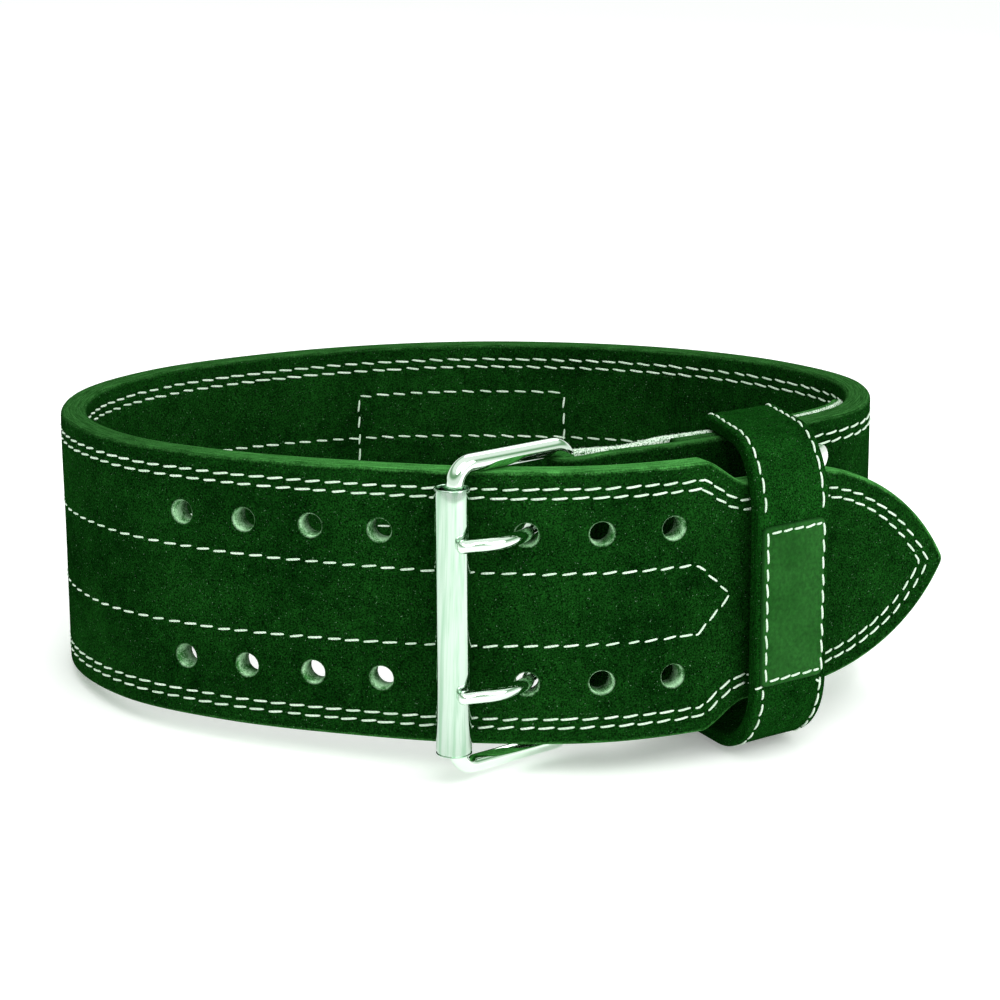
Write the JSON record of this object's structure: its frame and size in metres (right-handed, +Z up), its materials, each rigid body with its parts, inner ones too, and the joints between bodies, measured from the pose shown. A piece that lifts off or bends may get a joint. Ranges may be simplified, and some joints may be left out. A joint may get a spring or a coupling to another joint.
{
  "type": "weightlifting belt",
  "caption": "Wide thick leather weightlifting belt, fastened in a round loop, with a roller buckle, two prongs, paired holes, a keeper loop and a pointed tongue.",
  "frame": {"origin": "centre of the part's bounding box at the height of the floor it stands on", "axes": "+Z up, across the belt's width; -Y towards the buckle at the front; +X towards the tip of the tongue; the belt stands on its lower edge as it rests by itself"},
  "size_m": [0.3434, 0.2764, 0.121],
  "materials": {
    "suede": "dark green suede, matt",
    "smooth_leather": "smooth green leather",
    "chrome": "polished chrome plate on steel",
    "nickel": "nickel plate"
  },
  "bodies": {
    "root": {"belt_strap": "suede", "buckle_fold": "suede", "keeper_loop": "suede", "keeper_patch": "smooth_leather", "buckle_frame": "chrome", "buckle_roller": "chrome", "prong_upper": "chrome", "prong_lower": "chrome", "rivet_1_lower": "nickel", "rivet_1_upper": "nickel", "rivet_2_lower": "nickel", "rivet_2_upper": "nickel"}
  },
  "joints": []
}
